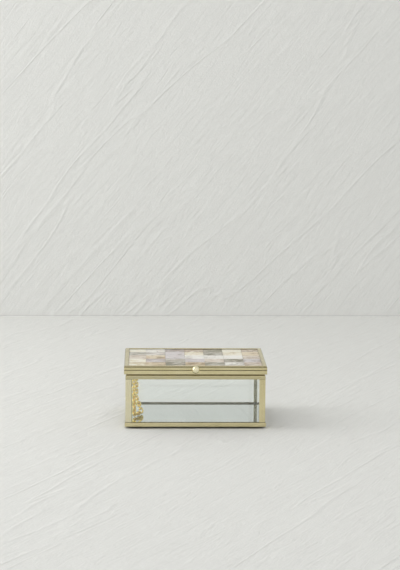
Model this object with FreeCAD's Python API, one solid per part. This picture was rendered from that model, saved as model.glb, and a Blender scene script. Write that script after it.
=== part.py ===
import FreeCAD, Part
import math
import os

# A brass-framed glass keepsake box: a mirror floor, four clear panes held by strip posts and rails,
# and a hinged lid whose brass rim holds a mosaic of shell tiles. A link chain stays the lid.
# Millimetres, +Z up, -Y is the front. The origin is the middle of the underside.

# Body frame
body_width = 141.6
body_depth = 105.1
body_height = 55.4
strip_thickness = 1.5
post_leg = 6.2
post_corner_radius = 1.2
base_rail_height = 6.6
base_proud = 0.7
base_flange_width = 8.0
base_flange_thickness = 2.3
base_top_radius = 1.1
base_bevel_width = 4.9
base_bevel_height = 2.15
base_bevel_radius = 0.6
top_rail_height = 4.7
top_lip_width = 5.0
top_lip_thickness = 2.0
top_edge_radius = 2.2

# Panes and floor
glass_thickness = 3.0
mirror_thickness = 3.0
fit_clearance = 0.3

# Lid rim, whose outer face is slightly crowned, with a fine groove along its middle
lid_overhang = 1.45
lid_gap = 0.5
lid_height = 8.6
lid_wall = 2.0
lid_lip_width = 4.5
lid_lip_thickness = 2.0
lid_top_radius = 1.6
lid_bottom_radius = 0.5
lid_inner_radius = 0.4
lid_crown = 0.08
lid_groove_width = 0.8
lid_groove_depth = 0.35

# Lid board, and shell tiles laid from the front edge. Shades and shares run from the back row to the front
board_thickness = 3.0
tile_thickness = 1.1
tile_joint = 0.12
tile_row_shares = (0.8, 1, 1, 1, 1.15)
tile_column_shares = (0.88, 1, 1, 1, 1, 1, 0.88)
tile_shades = ("CPLRGCR", "GPLCGCT", "RTLPPPR", "CLGLRGL", "CTGTGPR")
shade_names = {"C": "cream", "P": "pearl", "G": "grey", "R": "rose", "T": "tan", "L": "lavender"}

# Knob
knob_radius = 3.9
knob_reach = 4.6
knob_drop = 2.9
knob_neck_radius = 1.5
knob_collar_radius = 2.3
knob_collar_thickness = 0.5
knob_tenon_radius = 1.2

# Hinge
hinge_setback = 2.2
barrel_radius = 1.7
pin_radius = 0.9
pin_running_clearance = 0.05
pin_head_radius = 1.3
pin_head_length = 0.7
knuckle_length = 19.7
knuckle_gap = 0.3
knuckle_count = 5
leaf_thickness = 1.0
leaf_near = 1.15
leaf_far = 4.2
neck_height = 1.1

# Chain of oval wire links, from a headed peg on the box rail to an eye under the lid board
wire_radius = 0.7
link_length = 6.5
link_width = 4.6
link_play = 0.25
peg_reach = 5.7
peg_head_radius = 1.05
peg_head_length = 0.8
eye_radius = 1.7
eye_shank_radius = 0.7
eye_shank_depth = 2.0
eye_standoff = 2.4
lid_eye_front = 20.0
lid_eye_side = 2.0
upper_run_share = 0.69
slant_angle = 20.0
tail_links = 4
chain_floor_clearance = 0.15
chain_end_clearance = 0.6

# One overrun for all cuts
overrun = 1.0

# Places worked out from the sizes above
base_width = body_width + 2 * base_proud
base_depth = body_depth + 2 * base_proud
base_wall = base_proud + strip_thickness
mirror_top = base_flange_thickness + mirror_thickness
lid_width = body_width + 2 * lid_overhang
lid_depth = body_depth + 2 * lid_overhang
lid_low = body_height + lid_gap
lid_top = lid_low + lid_height
board_top = lid_top - lid_lip_thickness
board_low = board_top - board_thickness
hinge_y = lid_depth / 2 + hinge_setback
hinge_z = body_height + lid_gap / 2

UP = FreeCAD.Vector(0, 0, 1)
DOWN = FreeCAD.Vector(0, 0, -1)
ALONG_X = FreeCAD.Vector(1, 0, 0)
ALONG_Y = FreeCAD.Vector(0, 1, 0)
ORIGIN = FreeCAD.Vector(0, 0, 0)
SIDES = ("front", "right", "back", "left")
QUARTER = 90.0


def save(name, shapes):
    solids = []
    for shape in shapes:
        solids.extend(shape.Solids)
    shape = solids[0] if len(solids) == 1 else Part.makeCompound(solids)
    shape.exportStep("parts/" + name + ".step")
    print(name, len(solids), "solid(s), valid:", shape.isValid(), "volume:", round(shape.Volume, 3))


def block(low, high):
    size = FreeCAD.Vector(*high) - FreeCAD.Vector(*low)
    return Part.makeBox(size.x, size.y, size.z, FreeCAD.Vector(*low))


def rounded_face(corners):
    """A face from corner points in order, each with the radius that rounds it."""
    edges = []
    ends = []
    count = len(corners)
    for i, (point, radius) in enumerate(corners):
        before = (corners[i - 1][0] - point).normalize()
        after = (corners[(i + 1) % count][0] - point).normalize()
        half = before.getAngle(after) / 2
        setback = radius / math.tan(half)
        start = point + before * setback
        finish = point + after * setback
        if radius:
            centre = point + (before + after).normalize() * (radius / math.sin(half))
            middle = centre + (point - centre).normalize() * radius
            edges.append(Part.Arc(start, middle, finish).toShape())
        ends.append((start, finish))
    for i in range(count):
        start = ends[i][1]
        finish = ends[(i + 1) % count][0]
        edges.append(Part.LineSegment(start, finish).toShape())
    return Part.Face(Part.Wire(Part.__sortEdges__(edges)))


def rail_section(corners):
    """A rail's section from (inward, height, radius) corners."""
    return rounded_face([(FreeCAD.Vector(0, u, z), radius) for u, z, radius in corners])


def mitred_ring(section, width, depth):
    """Four rails of one section round a rectangle, mitred where they meet."""
    box = section.BoundBox
    rails = {}
    for turn, side in enumerate(SIDES):
        length = depth if turn % 2 else width
        across = width if turn % 2 else depth
        rail = section.extrude(ALONG_X * length)
        rail.translate(ALONG_X * (-length / 2))
        for end in (-1, 1):
            far = end * (length / 2 + overrun)
            near = end * (length / 2 - box.YMax - overrun)
            deep = box.YMax + overrun
            low = box.ZMin - overrun
            wedge_points = [(far, -overrun), (near, deep), (far, deep), (far, -overrun)]
            wedge = Part.Face(Part.makePolygon([FreeCAD.Vector(x, y, low) for x, y in wedge_points]))
            rail = rail.cut(wedge.extrude(UP * (box.ZLength + 2 * overrun)))
        rail.translate(ALONG_Y * (-across / 2))
        rail.rotate(ORIGIN, UP, turn * QUARTER)
        rails[side] = rail
    return rails


def make_base():
    section = rail_section([
        (0, base_bevel_height, base_bevel_radius),
        (base_bevel_width, 0, base_bevel_radius),
        (base_flange_width, 0, 0),
        (base_flange_width, base_flange_thickness, 0),
        (base_wall, base_flange_thickness, 0),
        (base_wall, base_rail_height, 0),
        (0, base_rail_height, base_top_radius),
    ])
    for side, rail in mitred_ring(section, base_width, base_depth).items():
        save("base_rail_" + side, [rail])

    half_x = base_width / 2 - base_wall - fit_clearance
    half_y = base_depth / 2 - base_wall - fit_clearance
    mirror = block((-half_x, -half_y, base_flange_thickness), (half_x, half_y, mirror_top))
    save("base_mirror", [mirror])

    half_x = base_width / 2 - base_flange_width - fit_clearance
    half_y = base_depth / 2 - base_flange_width - fit_clearance
    save("base_backing", [block((-half_x, -half_y, 0), (half_x, half_y, base_flange_thickness))])


def make_posts():
    bottom = base_rail_height
    height = body_height - top_rail_height - bottom
    outline = [
        (0, 0, post_corner_radius),
        (post_leg, 0, 0),
        (post_leg, strip_thickness, 0),
        (strip_thickness, strip_thickness, 0),
        (strip_thickness, post_leg, 0),
        (0, post_leg, 0),
    ]
    face = rounded_face([(FreeCAD.Vector(x, y, bottom), radius) for x, y, radius in outline])
    corners = ("front_left", "front_right", "back_right", "back_left")
    for turn, corner in enumerate(corners):
        across_x = body_depth if turn % 2 else body_width
        across_y = body_width if turn % 2 else body_depth
        post = face.extrude(UP * height)
        post.translate(FreeCAD.Vector(-across_x / 2, -across_y / 2, 0))
        post.rotate(ORIGIN, UP, turn * QUARTER)
        save("corner_post_" + corner, [post])


def make_top_rails():
    low = body_height - top_rail_height
    lip_low = body_height - top_lip_thickness
    section = rail_section([
        (0, low, 0),
        (strip_thickness, low, 0),
        (strip_thickness, lip_low, 0),
        (top_lip_width, lip_low, 0),
        (top_lip_width, body_height, 0),
        (0, body_height, top_edge_radius),
    ])
    for side, rail in mitred_ring(section, body_width, body_depth).items():
        save("top_rail_" + side, [rail])


def make_panes():
    top = body_height - top_lip_thickness - fit_clearance
    out_x = body_width / 2 - strip_thickness
    out_y = body_depth / 2 - strip_thickness
    in_x = out_x - glass_thickness
    in_y = out_y - glass_thickness
    long_x = out_x - fit_clearance
    long_y = in_y - fit_clearance
    save("pane_front", [block((-long_x, -out_y, mirror_top), (long_x, -in_y, top))])
    save("pane_back", [block((-long_x, in_y, mirror_top), (long_x, out_y, top))])
    save("pane_left", [block((-out_x, -long_y, mirror_top), (-in_x, long_y, top))])
    save("pane_right", [block((in_x, -long_y, mirror_top), (out_x, long_y, top))])


def make_lid_rim():
    middle = lid_low + lid_height / 2
    section = rail_section([
        (lid_crown, lid_low, lid_bottom_radius),
        (lid_wall, lid_low, 0),
        (lid_wall, board_top, 0),
        (lid_lip_width, board_top, 0),
        (lid_lip_width, lid_top, lid_inner_radius),
        (lid_crown, lid_top, lid_top_radius),
        (0, middle + lid_groove_width / 2, 0),
        (lid_groove_depth, middle, 0),
        (0, middle - lid_groove_width / 2, 0),
    ])
    rails = mitred_ring(section, lid_width, lid_depth)
    tenon_start = FreeCAD.Vector(0, -lid_depth / 2 - overrun, lid_top - knob_drop)
    hole = Part.makeCylinder(knob_tenon_radius, lid_wall + 2 * overrun, tenon_start, ALONG_Y)
    rails["front"] = rails["front"].cut(hole)
    for side, rail in rails.items():
        save("lid_rail_" + side, [rail])


def tile_spans(half, shares):
    """The low and high edge of each tile along one way of the lid, by its share of that way."""
    unit = 2 * half / sum(shares)
    spans = []
    low = -half
    for share in shares:
        high = low + share * unit
        spans.append((low + tile_joint / 2, high - tile_joint / 2))
        low = high
    return spans


def make_lid_panel():
    half_x = lid_width / 2 - lid_wall - fit_clearance
    half_y = lid_depth / 2 - lid_wall - fit_clearance
    board = block((-half_x, -half_y, board_low), (half_x, half_y, board_top))
    shank_low = FreeCAD.Vector(lid_eye_x, lid_eye_y, board_low - overrun)
    board = board.cut(Part.makeCylinder(eye_shank_radius, overrun + eye_shank_depth, shank_low))
    save("lid_board", [board])

    half_x = lid_width / 2 - lid_lip_width
    half_y = lid_depth / 2 - lid_lip_width
    tile_top = board_top + tile_thickness
    columns = tile_spans(half_x, tile_column_shares)
    rows = tile_spans(half_y, tile_row_shares[::-1])
    groups = {}
    for shades, (front, back) in zip(tile_shades[::-1], rows):
        for shade, (left, right) in zip(shades, columns):
            tile = block((left, front, board_top), (right, back, tile_top))
            groups.setdefault(shade, []).append(tile)
    for shade, tiles in groups.items():
        save("shell_tiles_" + shade_names[shade], tiles)


def make_knob():
    """The ball, its neck and collar, and the tenon that is riveted through the rim, turned in one."""
    face_y = lid_wall
    ball_y = face_y + knob_reach
    neck_y = ball_y - math.sqrt(knob_radius ** 2 - knob_neck_radius ** 2)
    collar_y = face_y + knob_collar_thickness
    outline = [
        (0, 0),
        (knob_tenon_radius, 0),
        (knob_tenon_radius, face_y),
        (knob_collar_radius, face_y),
        (knob_collar_radius, collar_y),
        (knob_neck_radius, collar_y),
        (knob_neck_radius, neck_y),
    ]
    points = [FreeCAD.Vector(r, -y, 0) for r, y in outline]
    side = FreeCAD.Vector(knob_radius, -ball_y, 0)
    tip = FreeCAD.Vector(0, -ball_y - knob_radius, 0)
    edges = [Part.LineSegment(a, b).toShape() for a, b in zip(points, points[1:])]
    edges.append(Part.Arc(points[-1], side, tip).toShape())
    edges.append(Part.LineSegment(tip, points[0]).toShape())
    knob = Part.Face(Part.Wire(edges)).revolve(ORIGIN, ALONG_Y, 4 * QUARTER)
    knob.translate(FreeCAD.Vector(0, -lid_depth / 2 + lid_wall, lid_top - knob_drop))
    save("knob", [knob])


def knuckle_span(index):
    pitch = knuckle_length + knuckle_gap
    start = (index - knuckle_count / 2) * pitch + knuckle_gap / 2
    return start, start + knuckle_length


def hinge_leaf(face_y, direction, indices, bore):
    """A leaf soldered to a back face, and its knuckles above (direction 1) or below (-1) the axis line."""
    near_z = hinge_z + direction * leaf_near
    far_z = hinge_z + direction * leaf_far
    neck_z = near_z + direction * neck_height
    first = knuckle_span(0)[0]
    last = knuckle_span(knuckle_count - 1)[1]
    low_z, high_z = sorted((neck_z, far_z))
    leaf = block((first, face_y, low_z), (last, face_y + leaf_thickness, high_z))
    low_z, high_z = sorted((near_z, neck_z))
    for index in indices:
        start, finish = knuckle_span(index)
        neck = block((start, face_y, low_z), (finish, hinge_y, high_z))
        centre = FreeCAD.Vector(start, hinge_y, hinge_z)
        barrel = Part.makeCylinder(barrel_radius, finish - start, centre, ALONG_X)
        leaf = leaf.fuse([neck, barrel])
    bore_start = FreeCAD.Vector(first - overrun, hinge_y, hinge_z)
    leaf = leaf.cut(Part.makeCylinder(bore, last - first + 2 * overrun, bore_start, ALONG_X))
    return leaf.removeSplitter()


def make_hinge():
    box_knuckles = range(0, knuckle_count, 2)
    lid_knuckles = range(1, knuckle_count, 2)
    save("hinge_leaf_box", [hinge_leaf(body_depth / 2, -1, box_knuckles, pin_radius)])
    lid_bore = pin_radius + pin_running_clearance
    save("hinge_leaf_lid", [hinge_leaf(lid_depth / 2, 1, lid_knuckles, lid_bore)])

    first = knuckle_span(0)[0]
    last = knuckle_span(knuckle_count - 1)[1]
    pin = Part.makeCylinder(pin_radius, last - first, FreeCAD.Vector(first, hinge_y, hinge_z), ALONG_X)
    head_starts = (first - pin_head_length, last)
    heads = []
    for start in head_starts:
        place = FreeCAD.Vector(start, hinge_y, hinge_z)
        heads.append(Part.makeCylinder(pin_head_radius, pin_head_length, place, ALONG_X))
    save("hinge_pin", [pin.fuse(heads).removeSplitter()])


# Chain: the box run hangs from its peg and slants off to the right near the mirror. The lid run hangs
# to its left, in front, and its last links lie along the mirror towards the slanted end.
link_pitch = link_length - 4 * wire_radius - link_play
link_bend = link_width / 2 - wire_radius
slant = math.radians(slant_angle)
chain_x = -body_width / 2 + top_lip_width + peg_reach
peg_z = body_height - top_lip_thickness / 2
lid_eye_z = board_low - eye_standoff - eye_radius - wire_radius
lid_eye_x = chain_x - lid_eye_side
lid_eye_y = -lid_eye_front
chain_floor = mirror_top + chain_floor_clearance
slant_height = chain_floor + link_width / 2 - link_bend * math.cos(slant)
tail_height = chain_floor + link_width / 2

box_drop = peg_z - slant_height
box_links = 2 * int(upper_run_share * box_drop / link_pitch / 2) + 1
slant_links = int((box_drop - box_links * link_pitch) / (link_pitch * math.cos(slant)))
slant_side = slant_links * link_pitch * math.sin(slant)
slant_way = FreeCAD.Vector(math.sin(slant), 0, -math.cos(slant))

lid_start = FreeCAD.Vector(lid_eye_x, lid_eye_y, lid_eye_z - eye_radius)
lid_links = int((lid_start.z - tail_height) / link_pitch)
tail_start = lid_start + DOWN * (lid_links * link_pitch)
tail_fall = tail_height - tail_start.z
tail_length = tail_links * link_pitch
tail_side = slant_side + lid_eye_side
tail_deep = math.sqrt(tail_length ** 2 - tail_side ** 2 - tail_fall ** 2)
tail_way = FreeCAD.Vector(tail_side, tail_deep, tail_fall).normalize()

peg_y = lid_eye_y + tail_deep + link_width / 2 + wire_radius + chain_end_clearance
box_start = FreeCAD.Vector(chain_x, peg_y, peg_z)
slant_start = box_start + DOWN * (box_links * link_pitch)


def make_link():
    """One oval wire link about its own middle, its length along Z and its width along X."""
    straight = link_length - link_width
    centre = FreeCAD.Vector(link_bend, 0, straight / 2)
    section = Part.Face(Part.Wire(Part.makeCircle(wire_radius, centre, UP)))
    side = section.extrude(DOWN * straight)
    arch = section.revolve(FreeCAD.Vector(0, 0, straight / 2), ALONG_Y, -2 * QUARTER)
    half = side.fuse(arch)
    other = half.copy()
    other.rotate(ORIGIN, ALONG_Y, 2 * QUARTER)
    return half.fuse(other).removeSplitter()


def chain_run(link, start, way, first_width, count, twist):
    """Links from a pivot along a line, each a quarter turn and a little twist on from the one before."""
    links = []
    for index in range(count):
        width = FreeCAD.Rotation(way, index * (QUARTER + twist)).multVec(first_width)
        middle = start + way * ((index + 1) * link_pitch - link_length / 2 + wire_radius)
        turned = FreeCAD.Rotation(width, way.cross(width), way, "ZXY")
        copy = link.copy()
        copy.Placement = FreeCAD.Placement(middle, turned)
        links.append(copy)
    return links


def lid_twist():
    """The twist per link that brings the hanging lid run's last link square to the lying tail."""
    last_width = DOWN.cross(tail_way).normalize()
    plain = FreeCAD.Rotation(DOWN, (lid_links - 1) * QUARTER).multVec(ALONG_Y)
    turn = math.degrees(math.atan2(last_width.dot(DOWN.cross(plain)), last_width.dot(plain)))
    least = (turn + QUARTER) % (2 * QUARTER) - QUARTER
    return least / (lid_links - 1)


def make_chain():
    link = make_link()
    save("chain_run_box", chain_run(link, box_start, DOWN, ALONG_Y, box_links, 0))
    save("chain_slant", chain_run(link, slant_start, slant_way, slant_way.cross(ALONG_Y), slant_links, 0))
    save("chain_run_lid", chain_run(link, lid_start, DOWN, ALONG_Y, lid_links, lid_twist()))
    tail_width = tail_way.cross(DOWN.cross(tail_way)).normalize()
    save("chain_tail", chain_run(link, tail_start, tail_way, tail_width, tail_links, 0))


def make_peg():
    """A headed peg on the edge of the left top rail, which the box run's first link hangs on."""
    start = FreeCAD.Vector(-body_width / 2 + top_lip_width, peg_y, peg_z)
    shaft_length = peg_reach + wire_radius + link_play
    shaft = Part.makeCylinder(wire_radius, shaft_length, start, ALONG_X)
    head = Part.makeCylinder(peg_head_radius, peg_head_length, start + ALONG_X * shaft_length, ALONG_X)
    save("chain_peg_box", [shaft.fuse(head)])


def make_eye():
    """An eye under the lid board, with its shank let into the board."""
    ring = Part.makeTorus(eye_radius, wire_radius, FreeCAD.Vector(lid_eye_x, lid_eye_y, lid_eye_z), ALONG_Y)
    shank_start = FreeCAD.Vector(lid_eye_x, lid_eye_y, lid_eye_z + eye_radius)
    shank_length = board_low + eye_shank_depth - shank_start.z
    save("chain_eye_lid", [ring.fuse(Part.makeCylinder(eye_shank_radius, shank_length, shank_start))])


os.makedirs("parts", exist_ok=True)
make_base()
make_posts()
make_top_rails()
make_panes()
make_lid_rim()
make_lid_panel()
make_knob()
make_hinge()
make_chain()
make_peg()
make_eye()
print("chain links: box run", box_links, "slant", slant_links, "lid run", lid_links, "tail", tail_links)
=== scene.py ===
import math

import bpy
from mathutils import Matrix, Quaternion, Vector


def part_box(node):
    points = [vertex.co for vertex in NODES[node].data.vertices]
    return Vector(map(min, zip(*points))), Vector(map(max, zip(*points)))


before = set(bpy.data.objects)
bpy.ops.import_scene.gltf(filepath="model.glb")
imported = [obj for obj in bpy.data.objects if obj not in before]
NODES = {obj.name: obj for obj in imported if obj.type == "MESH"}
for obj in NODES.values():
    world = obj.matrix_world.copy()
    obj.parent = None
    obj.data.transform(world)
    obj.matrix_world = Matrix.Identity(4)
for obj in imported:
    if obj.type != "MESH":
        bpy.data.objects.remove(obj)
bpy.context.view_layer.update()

# A brass-framed glass keepsake box with a mirror floor and a lid of shell mosaic, on a pale plaster floor.
# Metres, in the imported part's frame: +X to the right, +Y to the back, +Z up.

MM = 0.001
PANE_EASE = 0.05 * MM
TILE_EDGE = 0.12 * MM
TILE_JOIN_REACH = 0.005 * MM

# Dark level lines on the brass: each one's height and half its width. The posts' lines are seams; the base
# and lid lines are painted dark reflection and shade.
BASE_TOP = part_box("base_rail_front")[1][2]
POST_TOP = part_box("corner_post_front_left")[1][2]
LID_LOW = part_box("lid_rail_front")[0][2]
LID_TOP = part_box("lid_rail_front")[1][2]
# Painted dark reflection and shade on the lid rails: along the rounded top edge and in the groove
LID_EDGE_DARK_REFLECTION = (LID_TOP - 1.0 * MM, 1.0 * MM)
LID_GROOVE_SHADE = ((LID_LOW + LID_TOP) / 2, 0.6 * MM)
# Painted dark reflection and shade along the base rails' rounded top edge
BASE_PAINTED_LINES = ((BASE_TOP, 0.9 * MM),)
POST_SEAMS = ((POST_TOP, 0.45 * MM),)
LID_PAINTED_LINES = (LID_EDGE_DARK_REFLECTION, LID_GROOVE_SHADE)

# The mosaic: the tiles' shares of its width, and of its depth from the front row to the back
COLUMN_SHARES = (0.88, 1, 1, 1, 1, 1, 0.88)
ROW_SHARES = (1.15, 1, 1, 1, 0.8)
TILE_BOXES = [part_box(name) for name in NODES if name.startswith("shell_tiles_")]
MOSAIC_LEFT = min(low[0] for low, high in TILE_BOXES)
MOSAIC_RIGHT = max(high[0] for low, high in TILE_BOXES)
MOSAIC_FRONT = min(low[1] for low, high in TILE_BOXES)
MOSAIC_BACK = max(high[1] for low, high in TILE_BOXES)
COLUMN_PITCH = (MOSAIC_RIGHT - MOSAIC_LEFT) / sum(COLUMN_SHARES)
ROW_PITCH = (MOSAIC_BACK - MOSAIC_FRONT) / sum(ROW_SHARES)
FRONT_ROW_END = MOSAIC_FRONT + ROW_SHARES[0] * ROW_PITCH

# Camera
CAMERA_PLACE = (-0.04865, -1.98131, 0.41832)
CAMERA_HEADING_DEG = 1.559
CAMERA_DIP_DEG = 8.006
CAMERA_ROLL_DEG = 0.365
CAMERA_LENS_MM = 122.76

# Stage
FLOOR_HALF = 5.0
FLOOR_STROKES_DEG = -62
WALL_Y = 0.681
WALL_TURN_DEG = 0.66
WALL_HEIGHT = 4.0
WALL_STROKES_DEG = 48
# Painted shade along the wall's foot, where it meets the floor: how far up it reaches
WALL_FOOT_SHADE = 2.4 * MM
PLASTER_STROKES = (20.0, 125.0, 125.0)
PLASTER_VEINS = (1.6, 12.0, 12.0)
PLASTER_TOOTH = 420.0

# Light: the room's shares by how far a direction points up, and by how far it points aside
KEY_PLACE = (-1.45, 0.0, 1.05)
KEY_WIDTH = 0.8
KEY_HEIGHT = 1.5
KEY_POWER = 13.0
ROOM_LEVEL = 2.2
ROOM_BY_HEIGHT = ((0.0, 0.62), (0.42, 0.62), (0.60, 0.12), (0.80, 0.12), (0.95, 1.0))
ROOM_BY_SIDE = ((0.30, 1.0), (0.80, 0.30))
ROOM_SEEN = 0.86

# Brass finish, and the stretch of its brushing along each way
BRASS_SMOOTH = 0.16
BRASS_ROUGH = 0.30
BRUSHED_X = (0.02, 1.0, 1.0)
BRUSHED_Y = (1.0, 0.02, 1.0)
BRUSHED_Z = (1.0, 1.0, 0.02)

# Colours, linear
BRASS_PALE = (0.75, 0.675, 0.42, 1)
BRASS_DEEP = (0.61, 0.53, 0.29, 1)
# Painted light: the paler brass of the front left post
BRASS_LIT = (0.76, 0.72, 0.54, 1)
BRASS_MILD = (0.53, 0.485, 0.315, 1)
# Painted shade: the darker brass of the back posts
BRASS_SHADED = (0.33, 0.30, 0.17, 1)
# Grime and painted shade in the brass's gaps and corners
BRASS_GRIME_AND_SHADE = (0.10, 0.085, 0.04, 1)
# Dark seams on the posts, and painted dark reflection and shade on the base and lid rails
BRASS_SEAM_AND_SHADE = (0.12, 0.105, 0.055, 1)
KNOB_PALE = (0.93, 0.87, 0.62, 1)
GOLD_PALE = (1.00, 0.85, 0.40, 1)
GOLD_DEEP = (1.00, 0.76, 0.26, 1)
# Grime and painted shade between the chain's links
GOLD_GRIME_AND_SHADE = (0.90, 0.62, 0.18, 1)
GLASS_TINT = (0.965, 0.985, 0.975, 1)
MIRROR_TINT = (0.70, 0.73, 0.73, 1)
MIRROR_SPOT = (0.60, 0.63, 0.64, 1)
FELT_TONE = (0.045, 0.042, 0.040, 1)
FELT_LIGHT = (0.085, 0.080, 0.075, 1)
WOOD_PALE = (0.52, 0.38, 0.24, 1)
WOOD_DARK = (0.33, 0.21, 0.12, 1)
PLASTER_FLOOR = (0.73, 0.731, 0.704, 1)
PLASTER_WALL = (0.80, 0.803, 0.776, 1)
# Painted shade at the wall's foot
PLASTER_FOOT_SHADE = (0.66, 0.662, 0.640, 1)

# Each shell shade: its dark, middle and light tone
SHELL_SHADES = {
    "cream": ((0.57, 0.45, 0.30, 1), (0.88, 0.81, 0.64, 1), (0.97, 0.94, 0.83, 1)),
    "pearl": ((0.48, 0.44, 0.42, 1), (0.85, 0.82, 0.79, 1), (0.97, 0.96, 0.93, 1)),
    "lavender": ((0.29, 0.24, 0.24, 1), (0.48, 0.43, 0.45, 1), (0.73, 0.69, 0.72, 1)),
    "rose": ((0.36, 0.25, 0.19, 1), (0.60, 0.50, 0.42, 1), (0.81, 0.74, 0.67, 1)),
    "grey": ((0.19, 0.17, 0.13, 1), (0.37, 0.34, 0.29, 1), (0.64, 0.62, 0.59, 1)),
    "tan": ((0.30, 0.19, 0.10, 1), (0.56, 0.41, 0.25, 1), (0.78, 0.67, 0.51, 1)),
}
SHELL_PINK = (0.72, 0.56, 0.50, 1)
SHELL_GREEN = (0.56, 0.60, 0.54, 1)

# How far the veins may be shifted from tile to tile, along X, Y and Z
TILE_SHIFT = (311.0, 173.0, 97.0)


class Shader:
    """A material's node tree, with short ways to add nodes to it."""

    def __init__(self, name):
        self.material = bpy.data.materials.new(name)
        self.material.use_nodes = True
        self.tree = self.material.node_tree
        self.surface = self.tree.nodes["Principled BSDF"]
        self.output = self.tree.nodes["Material Output"]

    def fill(self, node, inputs):
        for key, value in inputs.items():
            if isinstance(value, bpy.types.NodeSocket):
                self.tree.links.new(value, node.inputs[key])
            else:
                node.inputs[key].default_value = value

    def node(self, kind, inputs, **settings):
        made = self.tree.nodes.new("ShaderNode" + kind)
        for key, value in settings.items():
            setattr(made, key, value)
        self.fill(made, inputs)
        return made

    def finish(self, inputs):
        """Sets the surface's own inputs and gives the material."""
        self.fill(self.surface, inputs)
        return self.material

    def point(self, stretch):
        """Places on the piece, in millimetres times a stretch for each way."""
        coords = self.node("TexCoord", {})
        scale = [value / MM for value in stretch]
        return self.node("Mapping", {"Vector": coords.outputs["Object"], "Scale": scale}).outputs["Vector"]

    def noise(self, point, scale, detail=2.0, roughness=0.5, distortion=0.0):
        inputs = {"Vector": point, "Scale": scale, "Detail": detail, "Roughness": roughness,
                  "Distortion": distortion}
        return self.node("TexNoise", inputs).outputs[0]

    def ramp(self, factor, stops):
        made = self.node("ValToRGB", {"Fac": factor})
        elements = made.color_ramp.elements
        while len(elements) < len(stops):
            elements.new(0.5)
        for element, (place, color) in zip(elements, stops):
            element.position = place
            element.color = color
        return made.outputs["Color"]

    def span(self, value, from_low, from_high, to_low, to_high):
        inputs = {"Value": value, "From Min": from_low, "From Max": from_high,
                  "To Min": to_low, "To Max": to_high}
        return self.node("MapRange", inputs).outputs["Result"]

    def math(self, operation, first, second=0.0):
        return self.node("Math", {0: first, 1: second}, operation=operation).outputs[0]

    def blend(self, first, second, second_share):
        """Two values added, the second with its share and the first with the rest."""
        return self.math("ADD", self.math("MULTIPLY", first, 1 - second_share),
                         self.math("MULTIPLY", second, second_share))

    def mix(self, factor, first, second):
        made = self.node("Mix", {}, data_type="RGBA")
        self.fill(made, {0: factor, 6: first, 7: second})
        return made.outputs[2]

    def bump(self, height, depth, strength):
        inputs = {"Height": height, "Distance": depth, "Strength": strength}
        return self.node("Bump", inputs).outputs["Normal"]

    def grime_and_shade_mask(self, reach, alone=False):
        """A mask that rises in gaps and inner corners, of the piece alone or of all: grime there and
        painted shade.
        """
        shut_in = self.node("AmbientOcclusion", {"Distance": reach}, samples=6, only_local=alone)
        return self.span(shut_in.outputs["AO"], 0.75, 0.20, 0.0, 0.95)

    def axes(self):
        """The place on the piece along X, Y and Z."""
        return self.node("SeparateXYZ", {0: self.node("TexCoord", {}).outputs["Object"]}).outputs

    def level_line(self, height, half):
        """A mask for a thin level line at a height on the piece."""
        off = self.math("ABSOLUTE", self.math("SUBTRACT", self.axes()["Z"], height))
        return self.span(off, half, 0.4 * half, 0.0, 0.75)

    def tile_chance(self):
        """A chance value that is the same all over one tile of the mosaic and new on the next."""
        place = self.axes()
        column = self.math("ROUND", self.math("DIVIDE", place["X"], COLUMN_PITCH))
        past_front = self.math("DIVIDE", self.math("SUBTRACT", place["Y"], FRONT_ROW_END), ROW_PITCH)
        row = self.math("FLOOR", self.math("MAXIMUM", past_front, -0.5))
        cell = self.node("CombineXYZ", {0: column, 1: row})
        return self.node("TexWhiteNoise", {"Vector": cell.outputs[0]}).outputs["Value"]

    def edges(self, radius):
        """A mask that rises at the piece's outer edges."""
        rounded = self.node("Bevel", {"Radius": radius}, samples=4).outputs["Normal"]
        flat = self.node("NewGeometry", {}).outputs["Normal"]
        dot = self.node("VectorMath", {0: rounded, 1: flat}, operation="DOT_PRODUCT").outputs["Value"]
        return self.span(dot, 0.99, 0.80, 0.0, 1.0)


def brass(name, brushed, pale=BRASS_PALE, deep=BRASS_DEEP, alone=False, seam_and_shade_lines=()):
    """Satin brass strip, brushed along its length, rubbed bright at the edges, and darker in the corners
    with grime and painted shade.
    """
    shader = Shader(name)
    plain = shader.point((1, 1, 1))
    cloud = shader.noise(plain, 0.045, detail=4.0, roughness=0.6)
    specks = shader.noise(plain, 0.9, detail=3.0, roughness=0.7)
    grain = shader.noise(shader.point(brushed), 3.0, detail=3.0, roughness=0.6)
    stain = shader.math("ADD", cloud, shader.math("MULTIPLY", specks, 0.35))
    color = shader.mix(shader.span(stain, 0.45, 0.95, 0.0, 0.75), pale, deep)
    worn = shader.math("MULTIPLY", shader.edges(0.5 * MM), 0.5)
    color = shader.mix(worn, color, pale)
    # Darker in gaps and inner corners: grime and painted shade
    color = shader.mix(shader.grime_and_shade_mask(2.2 * MM, alone), color, BRASS_GRIME_AND_SHADE)
    # Dark level lines: seams on the posts, painted dark reflection and shade on the base and lid
    for height, half in seam_and_shade_lines:
        color = shader.mix(shader.level_line(height, half), color, BRASS_SEAM_AND_SHADE)
    return shader.finish({
        "Base Color": color,
        "Metallic": 1.0,
        "Roughness": shader.span(shader.math("ADD", cloud, grain), 0.7, 1.3, BRASS_SMOOTH, BRASS_ROUGH),
        "Normal": shader.bump(grain, 0.02 * MM, 0.25),
    })


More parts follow.
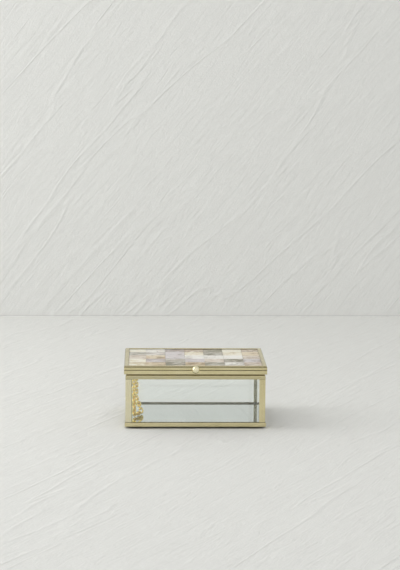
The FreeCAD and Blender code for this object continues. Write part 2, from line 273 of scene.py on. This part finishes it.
def polished_brass(name, pale, deep, grime_and_shade, smooth, rough):
    """Turned or drawn brass, polished, with faint handling marks, and darker where pieces meet with grime
    and painted shade.
    """
    shader = Shader(name)
    plain = shader.point((1, 1, 1))
    cloud = shader.noise(plain, 0.25, detail=4.0, roughness=0.6)
    marks = shader.noise(plain, 1.8, detail=2.0, roughness=0.6)
    color = shader.mix(shader.span(cloud, 0.35, 0.75, 0.0, 0.8), pale, deep)
    return shader.finish({
        # Darker where pieces meet: grime and painted shade
        "Base Color": shader.mix(shader.grime_and_shade_mask(1.8 * MM), color, grime_and_shade),
        "Metallic": 1.0,
        "Roughness": shader.span(marks, 0.3, 0.7, smooth, rough),
        "Normal": shader.bump(marks, 0.03 * MM, 0.12),
    })


def clear_glass(name):
    """Polished sheet glass with a slight wave and faint smudges, which lets light through."""
    shader = Shader(name)
    plain = shader.point((1, 1, 1))
    smudge = shader.noise(plain, 0.06, detail=5.0, roughness=0.65)
    wave = shader.noise(plain, 0.02, detail=1.0)
    shader.finish({
        "Base Color": GLASS_TINT,
        "Transmission Weight": 1.0,
        "IOR": 1.5,
        "Roughness": shader.span(smudge, 0.5, 0.8, 0.0, 0.025),
        "Normal": shader.bump(wave, 0.05 * MM, 0.2),
    })
    clear = shader.node("BsdfTransparent", {"Color": GLASS_TINT})
    shadow = shader.node("LightPath", {}).outputs["Is Shadow Ray"]
    blend = shader.node("MixShader", {0: shadow, 1: shader.surface.outputs[0], 2: clear.outputs[0]})
    shader.fill(shader.output, {"Surface": blend.outputs[0]})
    return shader.material


def mirror_glass(name):
    """Silvered glass with faint specks in the silver."""
    shader = Shader(name)
    plain = shader.point((1, 1, 1))
    specks = shader.noise(plain, 0.5, detail=6.0, roughness=0.7)
    haze = shader.noise(plain, 0.03, detail=3.0)
    return shader.finish({
        "Base Color": shader.mix(shader.span(specks, 0.66, 0.76, 0.0, 0.7), MIRROR_TINT, MIRROR_SPOT),
        "Metallic": 1.0,
        "Roughness": shader.span(haze, 0.35, 0.75, 0.005, 0.035),
        "Coat Weight": 0.6,
        "Coat Roughness": 0.02,
    })


def shell(name, tones):
    """Polished mother-of-pearl: bands, fine streaks and a pink and green play, new on each tile."""
    shader = Shader(name)
    dark, middle, light = tones
    chance = shader.tile_chance()
    shifts = {axis: shader.math("MULTIPLY", chance, reach) for axis, reach in enumerate(TILE_SHIFT)}
    away = shader.node("CombineXYZ", shifts).outputs[0]

    def shifted(stretch):
        return shader.node("VectorMath", {0: shader.point(stretch), 1: away}, operation="ADD").outputs[0]

    bands = shader.noise(shifted((0.055, 0.085, 0.085)), 1.0, detail=3.0, roughness=0.6, distortion=1.8)
    streaks = shader.noise(shifted((0.12, 0.42, 0.42)), 1.0, detail=4.0, roughness=0.6, distortion=1.0)
    play = shader.noise(shifted((0.06, 0.07, 0.07)), 1.0, detail=2.0, distortion=2.0)
    paler = shader.span(chance, 0.0, 1.0, -0.075, 0.10)
    level = shader.math("ADD", shader.blend(bands, streaks, 0.32), paler)
    color = shader.ramp(level, [(0.41, dark), (0.47, middle), (0.53, light)])
    color = shader.mix(shader.span(play, 0.54, 0.72, 0.0, 0.35), color, SHELL_PINK)
    color = shader.mix(shader.span(play, 0.44, 0.28, 0.0, 0.25), color, SHELL_GREEN)
    return shader.finish({
        "Base Color": color,
        "Roughness": shader.span(streaks, 0.3, 0.7, 0.26, 0.42),
        "IOR": 1.5,
        "Specular IOR Level": 0.22,
        "Thin Film Thickness": 420.0,
        "Thin Film IOR": 1.4,
        "Normal": shader.bump(level, 0.05 * MM, 0.25),
    })


def wood(name):
    """A plain sanded board with its grain along the lid."""
    shader = Shader(name)
    figure = shader.noise(shader.point((0.008, 0.12, 0.12)), 1.0, detail=4.0, roughness=0.6, distortion=1.0)
    fibre = shader.noise(shader.point((0.05, 1.6, 1.6)), 1.0, detail=3.0)
    level = shader.blend(figure, fibre, 0.3)
    return shader.finish({
        "Base Color": shader.ramp(level, [(0.35, WOOD_DARK), (0.65, WOOD_PALE)]),
        "Roughness": shader.span(fibre, 0.3, 0.7, 0.50, 0.72),
        "Normal": shader.bump(level, 0.1 * MM, 0.3),
    })


def felt(name):
    """Dark pressed felt with a short nap."""
    shader = Shader(name)
    plain = shader.point((1, 1, 1))
    nap = shader.noise(plain, 2.6, detail=4.0, roughness=0.75)
    matting = shader.noise(plain, 0.12, detail=3.0)
    level = shader.blend(nap, matting, 0.4)
    return shader.finish({
        "Base Color": shader.ramp(level, [(0.3, FELT_TONE), (0.7, FELT_LIGHT)]),
        "Roughness": 0.95,
        "Sheen Weight": 0.4,
        "Sheen Roughness": 0.5,
        "Normal": shader.bump(nap, 0.25 * MM, 0.6),
    })


def plaster(name, tone, turn, foot_shade=False):
    """Trowelled plaster: fine slanting strokes, long thin veins along them and a gritty tooth."""
    shader = Shader(name)
    coords = shader.node("TexCoord", {}).outputs["Object"]
    turned = shader.node("Mapping", {"Vector": coords, "Rotation": turn}).outputs[0]
    along = shader.node("Mapping", {"Vector": turned, "Scale": PLASTER_STROKES}).outputs[0]
    strokes = shader.noise(along, 1.0, detail=4.0, roughness=0.6, distortion=1.2)
    far = shader.node("Mapping", {"Vector": turned, "Scale": PLASTER_VEINS}).outputs[0]
    drift = shader.noise(far, 1.0, detail=3.0, roughness=0.5, distortion=0.25)
    from_line = shader.math("ABSOLUTE", shader.math("SUBTRACT", drift, 0.5))
    veins = shader.span(from_line, 0.014, 0.0, 0.0, 1.0)
    tooth = shader.noise(coords, PLASTER_TOOTH, detail=3.0, roughness=0.65)
    level = shader.math("MULTIPLY", strokes, 0.62)
    level = shader.math("ADD", level, shader.math("MULTIPLY", tooth, 0.20))
    level = shader.math("ADD", level, shader.math("MULTIPLY", veins, 0.24))
    shade = tuple(value * 0.965 for value in tone[:3]) + (1,)
    color = shader.mix(shader.span(strokes, 0.3, 0.7, 0.0, 1.0), shade, tone)
    # Painted shade along the wall's foot, where it meets the floor
    if foot_shade:
        color = shader.mix(shader.level_line(0.0, WALL_FOOT_SHADE), color, PLASTER_FOOT_SHADE)
    return shader.finish({
        "Base Color": color,
        "Roughness": 0.85,
        "Normal": shader.bump(level, 4.0 * MM, 0.50),
    })


def one_sided(material):
    """Lets light and the eye through the back of a backdrop, so that it hides nothing from behind."""
    nodes = material.node_tree.nodes
    links = material.node_tree.links
    clear = nodes.new("ShaderNodeBsdfTransparent")
    facing = nodes.new("ShaderNodeNewGeometry")
    blend = nodes.new("ShaderNodeMixShader")
    links.new(facing.outputs["Backfacing"], blend.inputs[0])
    links.new(nodes["Principled BSDF"].outputs[0], blend.inputs[1])
    links.new(clear.outputs[0], blend.inputs[2])
    links.new(blend.outputs[0], nodes["Material Output"].inputs["Surface"])


def dress(material, *starts):
    """Gives a material to each node whose name starts with one of the words."""
    for name, node in NODES.items():
        if name.startswith(starts):
            node.material_slots[0].material = material


def break_tile_edges():
    """Joins the faces of each shell tile along its edges and breaks those edges."""
    for name, node in NODES.items():
        if name.startswith("shell_tiles_"):
            weld = node.modifiers.new("joined_faces", "WELD")
            weld.merge_threshold = TILE_JOIN_REACH
            bevel = node.modifiers.new("broken_edge", "BEVEL")
            bevel.width = TILE_EDGE
            bevel.segments = 2
            bevel.limit_method = "ANGLE"
            bevel.angle_limit = math.radians(40)


def ease_panes():
    """Draws each pane's faces in by a hair, so that glass and brass that touch are told apart."""
    for name, node in NODES.items():
        if name.startswith("pane_"):
            ease = node.modifiers.new("bedding", "DISPLACE")
            ease.strength = -PANE_EASE
            ease.mid_level = 0.0


def dress_box():
    """Gives each piece its material."""
    base_x = brass("brass_base_along_x", BRUSHED_X, seam_and_shade_lines=BASE_PAINTED_LINES)
    base_y = brass("brass_base_along_y", BRUSHED_Y, seam_and_shade_lines=BASE_PAINTED_LINES)
    top_x = brass("brass_top_along_x", BRUSHED_X, BRASS_MILD, BRASS_DEEP)
    top_y = brass("brass_top_along_y", BRUSHED_Y, BRASS_MILD, BRASS_DEEP)
    lid_x = brass("brass_lid_along_x", BRUSHED_X, seam_and_shade_lines=LID_PAINTED_LINES)
    lid_y = brass("brass_lid_along_y", BRUSHED_Y, seam_and_shade_lines=LID_PAINTED_LINES)
    rails = {"base_rail_": (base_x, base_y), "top_rail_": (top_x, top_y), "lid_rail_": (lid_x, lid_y)}
    for rail, (long_brass, cross_brass) in rails.items():
        dress(long_brass, rail + "front", rail + "back")
        dress(cross_brass, rail + "left", rail + "right")
    dress(top_x, "hinge_")
    # Painted light and shade: the front left post paler, as lit from the left, and the back posts darker,
    # as shaded
    posts = {
        "corner_post_front_left": ("brass_along_z_lit", BRASS_LIT, BRASS_PALE),
        "corner_post_front_right": ("brass_along_z", BRASS_PALE, BRASS_DEEP),
        "corner_post_back_": ("brass_along_z_shaded", BRASS_MILD, BRASS_SHADED),
    }
    for post, (name, pale, deep) in posts.items():
        dress(brass(name, BRUSHED_Z, pale, deep, alone=True, seam_and_shade_lines=POST_SEAMS), post)
    dress(polished_brass("knob_brass", KNOB_PALE, BRASS_PALE, BRASS_GRIME_AND_SHADE, 0.06, 0.14), "knob")
    dress(polished_brass("chain_gold", GOLD_PALE, GOLD_DEEP, GOLD_GRIME_AND_SHADE, 0.05, 0.12), "chain_")
    dress(clear_glass("clear_glass"), "pane_")
    dress(mirror_glass("mirror_glass"), "base_mirror")
    dress(felt("backing_felt"), "base_backing")
    dress(wood("board_wood"), "lid_board")
    for shade, tones in SHELL_SHADES.items():
        dress(shell("shell_" + shade, tones), "shell_tiles_" + shade)


def plane(name, corners, material):
    """A flat piece of the stage."""
    mesh = bpy.data.meshes.new(name)
    mesh.from_pydata(corners, [], [tuple(range(len(corners)))])
    mesh.materials.append(material)
    made = bpy.data.objects.new(name, mesh)
    bpy.context.scene.collection.objects.link(made)


def make_stage():
    """A plaster floor, and a plaster wall behind the box."""
    far = FLOOR_HALF
    floor = plaster("plaster_floor", PLASTER_FLOOR, (0, 0, math.radians(FLOOR_STROKES_DEG)))
    plane("floor", [(-far, -far, 0), (far, -far, 0), (far, far, 0), (-far, far, 0)], floor)
    wall = plaster("plaster_wall", PLASTER_WALL, (0, math.radians(WALL_STROKES_DEG), 0), foot_shade=True)
    one_sided(wall)
    lean = far * math.tan(math.radians(WALL_TURN_DEG))
    left = WALL_Y - lean
    right = WALL_Y + lean
    high = WALL_HEIGHT
    plane("wall", [(-far, left, 0), (far, right, 0), (far, right, high), (-far, left, high)], wall)


def lamp(name, place, width, height, power):
    """A soft lamp that faces the box."""
    data = bpy.data.lights.new(name, "AREA")
    data.shape = "RECTANGLE"
    data.size = width
    data.size_y = height
    data.energy = power
    made = bpy.data.objects.new(name, data)
    made.location = place
    made.rotation_mode = "QUATERNION"
    made.rotation_quaternion = (-Vector(place)).to_track_quat("-Z", "Y")
    bpy.context.scene.collection.objects.link(made)


def room_math(world, operation, first, second=None):
    """Arithmetic on the room's light, with each value a socket or a number."""
    made = world.node_tree.nodes.new("ShaderNodeMath")
    made.operation = operation
    for value, place in ((first, made.inputs[0]), (second, made.inputs[1])):
        if isinstance(value, bpy.types.NodeSocket):
            world.node_tree.links.new(value, place)
        elif value is not None:
            place.default_value = value
    return made.outputs[0]


def room_share(world, source, stops):
    """A share of the room's light by a direction's part along one axis."""
    ramp = world.node_tree.nodes.new("ShaderNodeValToRGB")
    ramp.color_ramp.interpolation = "EASE"
    elements = ramp.color_ramp.elements
    while len(elements) < len(stops):
        elements.new(0.5)
    for element, (place, share) in zip(elements, stops):
        element.position = place
        element.color = (share, share, share, 1)
    world.node_tree.links.new(source, ramp.inputs["Fac"])
    return ramp.outputs["Color"]


def make_room():
    """A pale room, dim at the sides and high up and bright overhead.

    To the eye, and in metal and glass, it looks even.
    """
    world = bpy.data.worlds.new("room")
    world.use_nodes = True
    nodes = world.node_tree.nodes
    links = world.node_tree.links
    coords = nodes.new("ShaderNodeTexCoord")
    way = nodes.new("ShaderNodeSeparateXYZ")
    links.new(coords.outputs["Generated"], way.inputs[0])
    by_height = room_share(world, way.outputs["Z"], ROOM_BY_HEIGHT)
    by_side = room_share(world, room_math(world, "ABSOLUTE", way.outputs["X"]), ROOM_BY_SIDE)
    share = room_math(world, "MULTIPLY", by_height, by_side)
    light = room_math(world, "MULTIPLY", share, ROOM_LEVEL)
    path = nodes.new("ShaderNodeLightPath").outputs
    through = room_math(world, "MAXIMUM", path["Is Glossy Ray"], path["Is Transmission Ray"])
    looked_at = room_math(world, "MAXIMUM", path["Is Camera Ray"], through)
    seen = nodes.new("ShaderNodeMix")
    seen.inputs["B"].default_value = ROOM_SEEN
    links.new(looked_at, seen.inputs["Factor"])
    links.new(light, seen.inputs["A"])
    links.new(seen.outputs["Result"], nodes["Background"].inputs["Strength"])
    nodes["Background"].inputs["Color"].default_value = (1, 1, 1, 1)
    bpy.context.scene.world = world


def make_camera():
    """The photo's camera, a little to the left and above, with a slight roll."""
    heading = math.radians(CAMERA_HEADING_DEG)
    dip = math.radians(CAMERA_DIP_DEG)
    level = math.cos(dip)
    look = Vector((math.sin(heading) * level, math.cos(heading) * level, -math.sin(dip)))
    data = bpy.data.cameras.new("camera")
    data.lens = CAMERA_LENS_MM
    camera = bpy.data.objects.new("camera", data)
    camera.location = CAMERA_PLACE
    camera.rotation_mode = "QUATERNION"
    roll = Quaternion((0, 0, 1), math.radians(CAMERA_ROLL_DEG))
    camera.rotation_quaternion = look.to_track_quat("-Z", "Y") @ roll
    bpy.context.scene.collection.objects.link(camera)
    bpy.context.scene.camera = camera


bpy.context.scene.view_settings.view_transform = "Standard"
dress_box()
ease_panes()
break_tile_edges()
make_stage()
make_room()
lamp("key", KEY_PLACE, KEY_WIDTH, KEY_HEIGHT, KEY_POWER)
make_camera()
